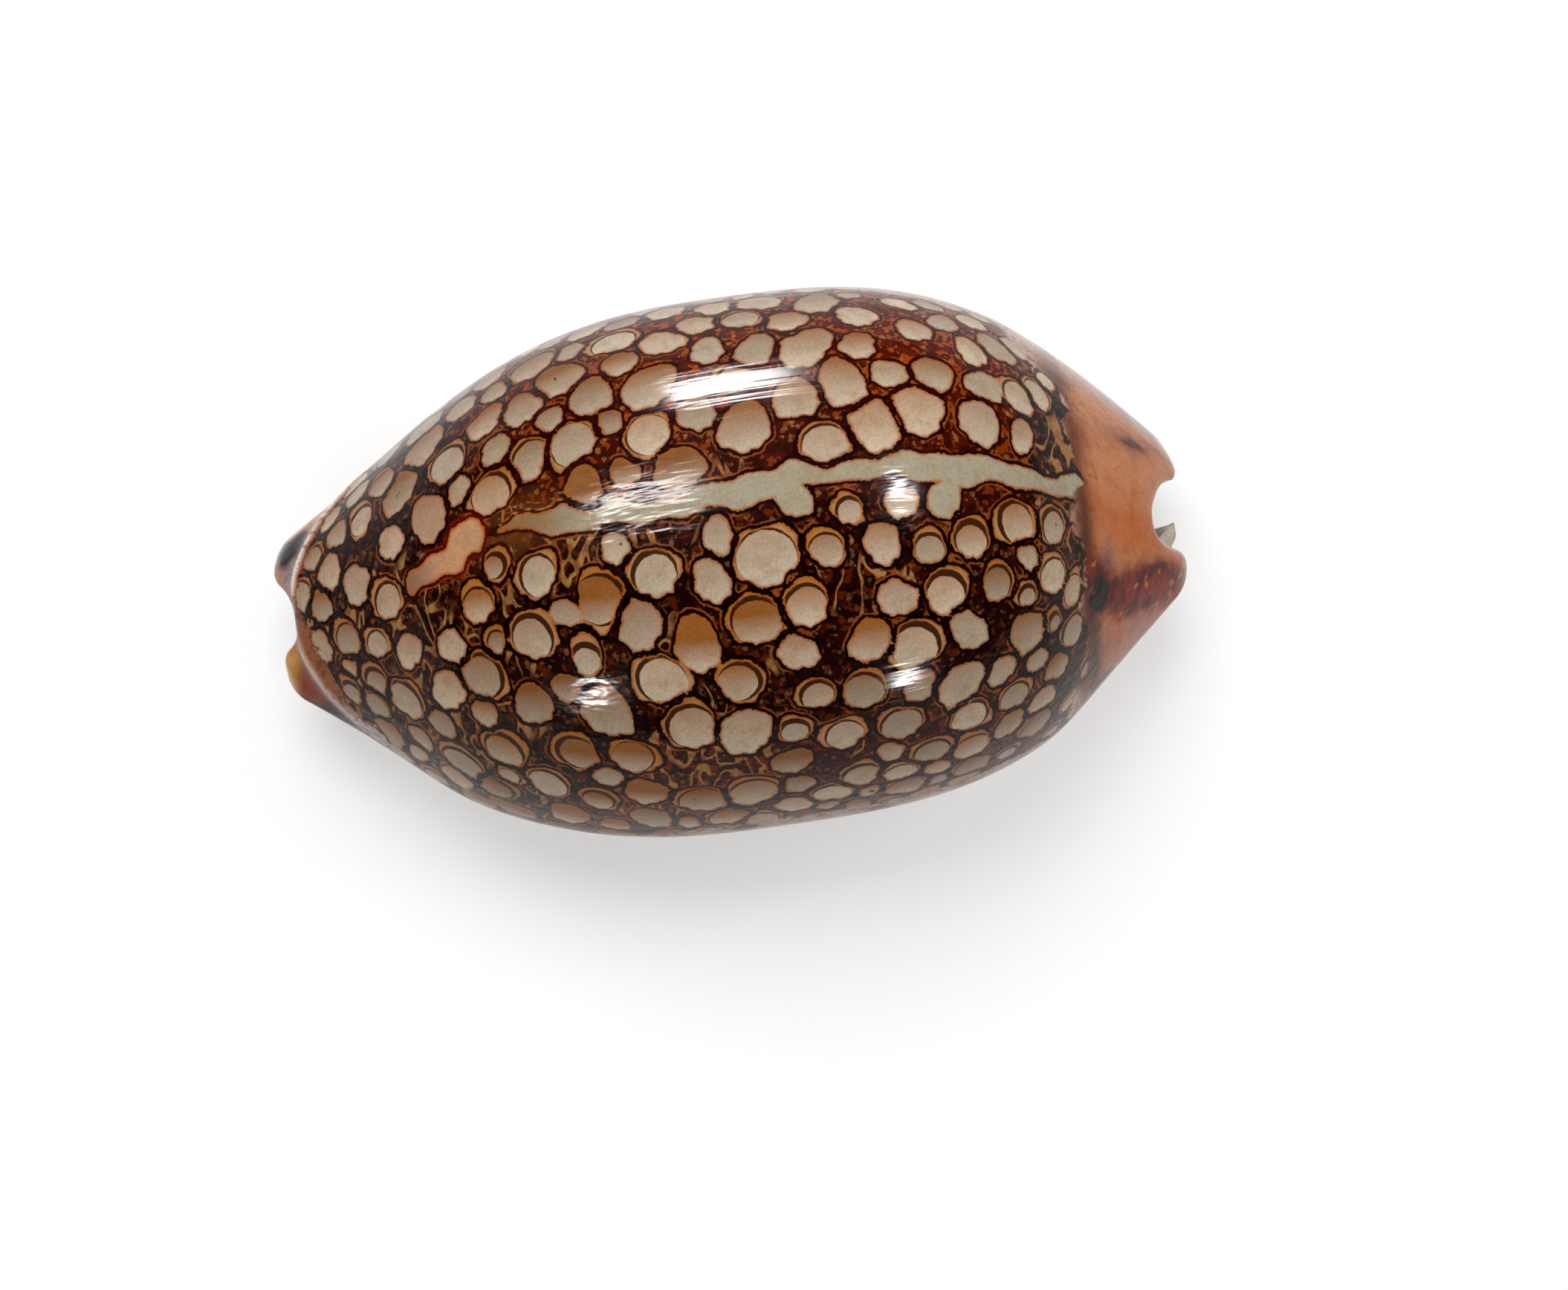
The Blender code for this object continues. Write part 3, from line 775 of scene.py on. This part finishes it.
red_mark = 0.95 * blot(0.958, -4.7, 2.8, 1.15, 0.24) + 0.8 * blot(0.900, -6.2, 2.4, 1.3, 0.30)
red_mark = red_mark + 0.7 * blot(0.872, -4.6, 1.1, 1.6)
keep("red_mark", np.clip(red_mark, 0, 1) * rear)
dark_mark = blot(0.878, -6.2, 1.05, 0.80, 0.2) + 0.5 * blot(0.957, -4.1, 1.8, 0.34, 0.35)
dark_mark = dark_mark + 0.45 * blot(0.880, -4.9, 0.5, 1.3, -0.3)
keep("dark_mark", np.clip(dark_mark, 0, 1) * rear)

# The front end: a tan collar, a pale ridge with painted shade just behind it, and beaks darker on one side
# and amber on the other.
front = smooth(0.13, 0.09, along) * on_end
plain = over(plain, tone(152, 94, 62), front)
# The dark line just behind the ridge is painted shade, as of the groove there.
ridge_groove_shade = 0.9 * np.exp(-(((past_ridge - 0.36) / 0.16) ** 2))
plain = over(plain, tone(110, 48, 20), ridge_groove_shade * front * smooth(-1, 2, y))
plain = over(plain, tone(140, 78, 40), front * np.exp(-(((past_ridge - 0.9) / 0.5) ** 2)))
plain = over(plain, tone(184, 166, 164), front * smooth(-4.6, -6.2, y))
before_ridge = smooth(-0.05, -0.40, past_ridge) * smooth(0.16, 0.12, along) * smooth(0.02, 0.30, up)
plain = over(plain, tone(196, 136, 84), before_ridge * smooth(0, 3, y))
plain = over(plain, tone(46, 12, 5), 1.3 * before_ridge * smooth(-3.8, -5.2, y))
plain = over(plain, tone(140, 62, 24), 1.3 * before_ridge * smooth(-0.5, -2.0, y) * smooth(-5.0, -3.8, y))
beak_tip = before_ridge * smooth(1.2, 0.3, facts[..., 2])
plain = over(plain, tone(220, 160, 70), beak_tip * smooth(-0.5, -2.0, y))
plain = over(plain, tone(158, 140, 146), 1.3 * before_ridge * blot(0.030, 3.0, 0.9, 1.1))
plain = over(plain, tone(34, 20, 26), 2.2 * before_ridge * blot(0.033, 5.0, 1.1, 1.0))
ridge_top = 1.5 * np.exp(-((past_ridge / 0.14) ** 2)) * on_top
plain = over(plain, tone(244, 228, 214), ridge_top * (0.45 + 0.55 * smooth(-1, 2, y)))
keep("plain_colour", plain, tone(*LINING_PALE))

# ---------------------------------------------------------------------------------------------------
# The teeth: low ribs across both lips of the mouth, 28 on the outer lip and 24 on the inner one. A tree of
# nodes raises the ribs and sinks the grooves between them, along the wall's own normals.
# ---------------------------------------------------------------------------------------------------
OUTER_TEETH = 28
INNER_TEETH = 24
TOOTH_RISE = 0.36
TOOTH_GROOVE = 0.22
FIRST_TOOTH = -0.405
LAST_TOOTH = 0.425
OUTER_REACH = 5.6
INNER_REACH = 5.4
outer = np.arange(n_columns)[None, :] < n_columns // 2
last_row = np.where(outer, OUTER_TEETH, INNER_TEETH) - 1
pitch = LENGTH * (LAST_TOOTH - FIRST_TOOTH) / last_row
tooth_row = (x - LENGTH * FIRST_TOOTH) / pitch
past_lip = facts[..., 3]
tooth_mask = smooth(-1.5, 0.4, past_lip)
tooth_mask = tooth_mask * smooth(0, -1.6, past_lip - np.where(outer, OUTER_REACH, INNER_REACH))
tooth_mask = tooth_mask * smooth(-0.9, -0.4, tooth_row) * smooth(0.9, 0.4, tooth_row - last_row)
keep("tooth_row", tooth_row)
tooth_mask = tooth_mask * (1 - 0.55 * smooth(0.16, 0.08, along) - 0.55 * smooth(0.85, 0.93, along))
keep("tooth_mask", tooth_mask)

teeth = bpy.data.node_groups.new("teeth", "GeometryNodeTree")
teeth.interface.new_socket("Geometry", in_out="INPUT", socket_type="NodeSocketGeometry")
for label in ("Rise", "Groove"):
    teeth.interface.new_socket(label, in_out="INPUT", socket_type="NodeSocketFloat")
teeth.interface.new_socket("Finish", in_out="INPUT", socket_type="NodeSocketMaterial")
teeth.interface.new_socket("Geometry", in_out="OUTPUT", socket_type="NodeSocketGeometry")

given = teeth.nodes.new("NodeGroupInput").outputs
row_number = step(teeth, "GeometryNodeInputNamedAttribute", "tooth_row").outputs[0]
mask = step(teeth, "GeometryNodeInputNamedAttribute", "tooth_mask").outputs[0]
wave = sums(teeth, "COSINE", sums(teeth, "MULTIPLY", row_number, 2 * np.pi))
crest = sums(teeth, "POWER", sums(teeth, "MULTIPLY_ADD", wave, 0.5, 0.5), 1.4)
raised = sums(teeth, "MULTIPLY", crest, given["Rise"])
sunk = sums(teeth, "MULTIPLY", sums(teeth, "SUBTRACT", 1.0, crest), given["Groove"])
height = sums(teeth, "MULTIPLY", sums(teeth, "SUBTRACT", raised, sunk), mask)
normal = step(teeth, "GeometryNodeInputNormal").outputs[0]
push = step(teeth, "ShaderNodeVectorMath", normal, operation="SCALE")
teeth.links.new(height, push.inputs["Scale"])
ribbed = step(teeth, "GeometryNodeSetPosition", given["Geometry"])
teeth.links.new(push.outputs[0], ribbed.inputs["Offset"])
place = step(teeth, "ShaderNodeSeparateXYZ", step(teeth, "GeometryNodeInputPosition").outputs[0]).outputs
off_table = sums(teeth, "MAXIMUM", place[2], 0.0)
level = step(teeth, "ShaderNodeCombineXYZ", place[0], place[1], off_table).outputs[0]
seated = step(teeth, "GeometryNodeSetPosition", ribbed.outputs[0])
teeth.links.new(level, seated.inputs["Position"])
whole = step(teeth, "GeometryNodeRealizeInstances", seated.outputs[0])
finished = step(teeth, "GeometryNodeSetMaterial", whole.outputs[0], None, given["Finish"])
leaving = teeth.nodes.new("NodeGroupOutput")
teeth.links.new(finished.outputs[0], leaving.inputs[0])

glaze = bpy.data.materials.new("shell_glaze")
ribs = wall.modifiers.new("teeth", "NODES")
ribs.node_group = teeth
sockets = {item.name: item.identifier for item in teeth.interface.items_tree if item.in_out == "INPUT"}
ribs[sockets["Rise"]] = TOOTH_RISE * MM
ribs[sockets["Groove"]] = TOOTH_GROOVE * MM
ribs[sockets["Finish"]] = glaze
bpy.context.view_layer.update()
shell_mesh = bpy.data.meshes.new_from_object(wall.evaluated_get(bpy.context.evaluated_depsgraph_get()))
shell_mesh.name = "cowrie"
shell = bpy.data.objects.new("cowrie", shell_mesh)
scene.collection.objects.link(shell)
bpy.data.objects.remove(wall)

# ---------------------------------------------------------------------------------------------------
# The glaze: a hard, glossy skin over chalky shell. The edges of the cells are roughened by fine noise, the
# wide parts of the net carry small tan dots and dashes, and faint lengthwise growth streaks break the gloss.
# ---------------------------------------------------------------------------------------------------
SMOOTHEST = 0.08  # roughness, which the mottling raises
ROUGHER = 0.12
SPECULAR_LEVEL = 0.08
RELIEF_STRENGTH = 0.50
RELIEF_DEPTH = 0.1
DOTS_PER_MM = 2.1
CRUMB_ORANGE = (192, 80, 6)
HALO_OCHRE = (158, 80, 20)
RIM_TAN = (172, 110, 42)
CRESCENT_DARK = (44, 13, 3)
RED_MARK = (132, 34, 4)
TOOTH_BROWN = (118, 44, 22)

glaze.use_nodes = True
paint = glaze.node_tree
surface = paint.nodes["Principled BSDF"]


def stored(name, output="Fac"):
    return step(paint, "ShaderNodeAttribute", attribute_name=name).outputs[output]


def scaled(source, factor, added):
    return sums(paint, "MULTIPLY_ADD", source, factor, added)


def noise(place, scale, detail=2.0, roughness=0.5, distortion=0.0):
    made = step(paint, "ShaderNodeTexNoise")
    paint.links.new(place, made.inputs["Vector"])
    made.inputs["Scale"].default_value = scale
    made.inputs["Detail"].default_value = detail
    made.inputs["Roughness"].default_value = roughness
    made.inputs["Distortion"].default_value = distortion
    return made.outputs["Fac"]


def stretched(place, scale):
    made = step(paint, "ShaderNodeMapping")
    paint.links.new(place, made.inputs["Vector"])
    made.inputs["Scale"].default_value = scale
    return made.outputs[0]


def ramp(value, low, high):
    """0 at low and 1 at high with a soft step between. It may fall instead of rise."""
    made = step(paint, "ShaderNodeMapRange", value, interpolation_type="SMOOTHSTEP")
    flip = low > high
    made.inputs["From Min"].default_value = min(low, high)
    made.inputs["From Max"].default_value = max(low, high)
    made.inputs["To Min"].default_value = 1.0 if flip else 0.0
    made.inputs["To Max"].default_value = 0.0 if flip else 1.0
    return made.outputs[0]


def laid(amount, below, above):
    """One colour over another by an amount. Either may be a socket or a colour as seen."""
    made = step(paint, "ShaderNodeMix", data_type="RGBA")
    for socket, source in ((made.inputs[0], amount), (made.inputs[6], below), (made.inputs[7], above)):
        if isinstance(source, bpy.types.NodeSocket):
            paint.links.new(source, socket)
        elif socket == made.inputs[0]:
            socket.default_value = source
        else:
            socket.default_value = (*tone(*source), 1)
    return made.outputs[2]


def deepened(colour, amount, tint):
    """The colour multiplied by a tint, by an amount."""
    made = step(paint, "ShaderNodeMix", data_type="RGBA", blend_type="MULTIPLY")
    paint.links.new(amount, made.inputs[0])
    paint.links.new(colour, made.inputs[6])
    made.inputs[7].default_value = (*tint, 1)
    return made.outputs[2]


def times(*sources):
    product = sources[0]
    for source in sources[1:]:
        product = sums(paint, "MULTIPLY", product, source)
    return product


object_place = step(paint, "ShaderNodeTexCoord").outputs["Object"]
place_mm = stretched(object_place, (1000, 1000, 1000))
ragged = noise(place_mm, 1.5, 3.0, 0.62)
fine_rag = noise(place_mm, 4.5, 2.0, 0.5)
waver = sums(paint, "ADD", scaled(ragged, 0.44, -0.22), scaled(fine_rag, 0.12, -0.06))  # moves every edge
cell_edge = sums(paint, "ADD", stored("cell_edge"), waver)
core_edge = scaled(waver, 0.5, stored("core_edge"))
in_cell = ramp(cell_edge, 0.035, -0.035)

# The net is full of small orange crumbs, with dots and short winding bars in its widest places.
dots = step(paint, "ShaderNodeTexVoronoi", feature="F1")
paint.links.new(place_mm, dots.inputs["Vector"])
dots.inputs["Scale"].default_value = DOTS_PER_MM
dot_luck = step(paint, "ShaderNodeSeparateColor", dots.outputs["Color"]).outputs[0]
dot_size = scaled(dot_luck, 0.46, -0.10)
dot_rag = scaled(fine_rag, 0.9, -0.45)
dot_edge = sums(paint, "ADD", dot_rag, sums(paint, "SUBTRACT", dots.outputs["Distance"], dot_size))
dot = ramp(dot_edge, 0.14, 0.02)
winding = noise(stretched(object_place, (900, 420, 420)), 1.0, 0.8, 0.5, 0.6)
strokes = sums(paint, "ABSOLUTE", sums(paint, "SUBTRACT", winding, 0.5))
barred = ramp(scaled(noise(place_mm, 0.30, 1.0), 1.2, stored("barred")), 1.16, 1.30)
room_left = ramp(cell_edge, 0.17, 0.25)
wide_room = ramp(cell_edge, 0.27, 0.36)
bar = times(ramp(strokes, 0.056, 0.028), wide_room, barred)
crumbs = times(ramp(noise(place_mm, 1.9, 1.0, 0.5), 0.54, 0.63), room_left)
fleck = sums(paint, "MAXIMUM", times(dot, room_left, scaled(stored("net_gloom"), -0.70, 1.0)), bar)
halo = ramp(cell_edge, 0.17, 0.22)
halo = times(halo, ramp(cell_edge, 0.34, 0.28), ramp(noise(place_mm, 0.45, 1.0), 0.50, 0.57))
deep = stored("net_gloom")
fleck_colour = laid(deep, (196, 126, 62), (158, 112, 64))
fleck_colour = deepened(fleck_colour, ramp(ragged, 0.60, 0.36), (0.55, 0.42, 0.34))
lighter = times(ramp(ragged, 0.45, 0.72), scaled(deep, -0.36, 0.46))
net_tone = laid(lighter, stored("net_colour", "Color"), (150, 42, 0))
net_tone = laid(times(crumbs, scaled(deep, -0.90, 1.0)), net_tone, CRUMB_ORANGE)
net = laid(fleck, net_tone, fleck_colour)
net = laid(times(halo, 0.75), net, HALO_OCHRE)
net = deepened(net, times(ramp(cell_edge, 0.30, 0.14), 0.90), (0.26, 0.05, 0.02))
net = laid(ramp(scaled(waver, 0.35, stored("line_edging")), 0.03, -0.03), net, (158, 108, 52))

# Inside a cell: a tan rim, a dark crescent, and a paler core that is browner near the top.
core_part = ramp(core_edge, 0.03, -0.03)
moon_edge = scaled(waver, 0.30, stored("moon"))
crescent_edge = sums(paint, "MAXIMUM", sums(paint, "MULTIPLY", core_edge, -1.0), moon_edge)
dark_crescent = times(ramp(crescent_edge, 0.01, -0.04), ramp(cell_edge, -0.03, -0.10))
dark_dot = ramp(scaled(waver, 0.6, stored("dot_edge")), 0.03, -0.05)
mottle = noise(place_mm, 0.9, 4.0, 0.6)
grain = noise(place_mm, 6.0, 2.0, 0.6)
cell_tone = laid(times(ramp(mottle, 0.42, 0.72), 0.35), stored("cell_colour", "Color"), (146, 110, 66))
cell_tone = deepened(cell_tone, ramp(grain, 0.62, 0.35), (0.86, 0.84, 0.80))
rim_tone = laid(0.66, cell_tone, RIM_TAN)
cell_tone = laid(core_part, rim_tone, cell_tone)
cell_tone = laid(times(sums(paint, "MAXIMUM", dark_crescent, dark_dot), 0.95), cell_tone, CRESCENT_DARK)
cell_tone = laid(times(ramp(cell_edge, -0.21, -0.02), 0.82), cell_tone, (160, 82, 12))
pattern = laid(in_cell, net, cell_tone)

plain_edge = scaled(waver, 2.6, stored("net_zone"))
plain_tone = stored("plain_colour", "Color")
plain_tone = deepened(plain_tone, times(ramp(mottle, 0.40, 0.72), 0.7), (0.76, 0.62, 0.54))
plain_tone = deepened(plain_tone, times(ramp(grain, 0.50, 0.30), 0.8), (0.78, 0.68, 0.62))
red_part = ramp(scaled(waver, 1.0, stored("red_mark")), 0.22, 0.92)
plain_tone = laid(red_part, plain_tone, laid(ramp(mottle, 0.40, 0.62), RED_MARK, (84, 10, 0)))
red_fleck = times(red_part, ramp(noise(place_mm, 1.1, 1.0), 0.62, 0.70), 0.8)
plain_tone = laid(red_fleck, plain_tone, (206, 104, 30))
dark_part = ramp(scaled(waver, 1.1, stored("dark_mark")), 0.28, 0.72)
plain_tone = laid(dark_part, plain_tone, (16, 2, 2))
side_spot = ramp(scaled(waver, 1.7, stored("spot_edge")), 0.16, -0.30)
plain_tone = laid(times(side_spot, ramp(mottle, 0.05, 0.60)), plain_tone, (88, 50, 46))
speckle = times(ramp(plain_edge, -1.9, 0.0), ramp(noise(place_mm, 1.7, 2.0, 0.6), 0.48, 0.62))
plain_tone = laid(times(speckle, 0.65), plain_tone, (92, 40, 18))
colour = laid(ramp(plain_edge, -0.10, 0.10), plain_tone, pattern)

# The teeth are red-brown with cream between them.
tooth_ridge = sums(paint, "COSINE", times(stored("tooth_row"), 2 * np.pi))
tooth_stain = ramp(scaled(waver, 1.2, tooth_ridge), -0.05, 0.55)
tooth_stain = times(tooth_stain, ramp(stored("tooth_mask"), 0.10, 0.60))
colour = laid(times(tooth_stain, 0.88), colour, TOOTH_BROWN)
paint.links.new(colour, surface.inputs["Base Color"])

streaks = noise(stretched(object_place, (60, 1500, 1500)), 1.0, 2.0, 0.5)
growth = noise(stretched(object_place, (240, 100, 100)), 1.0, 1.0, 0.5)
relief = step(paint, "ShaderNodeBump")
relief.inputs["Strength"].default_value = RELIEF_STRENGTH
relief.inputs["Distance"].default_value = RELIEF_DEPTH * MM
paint.links.new(sums(paint, "ADD", streaks, growth), relief.inputs["Height"])
paint.links.new(relief.outputs[0], surface.inputs["Normal"])
paint.links.new(scaled(mottle, ROUGHER, SMOOTHEST), surface.inputs["Roughness"])
surface.inputs["Specular IOR Level"].default_value = SPECULAR_LEVEL

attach(shell, "root")
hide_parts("shell")
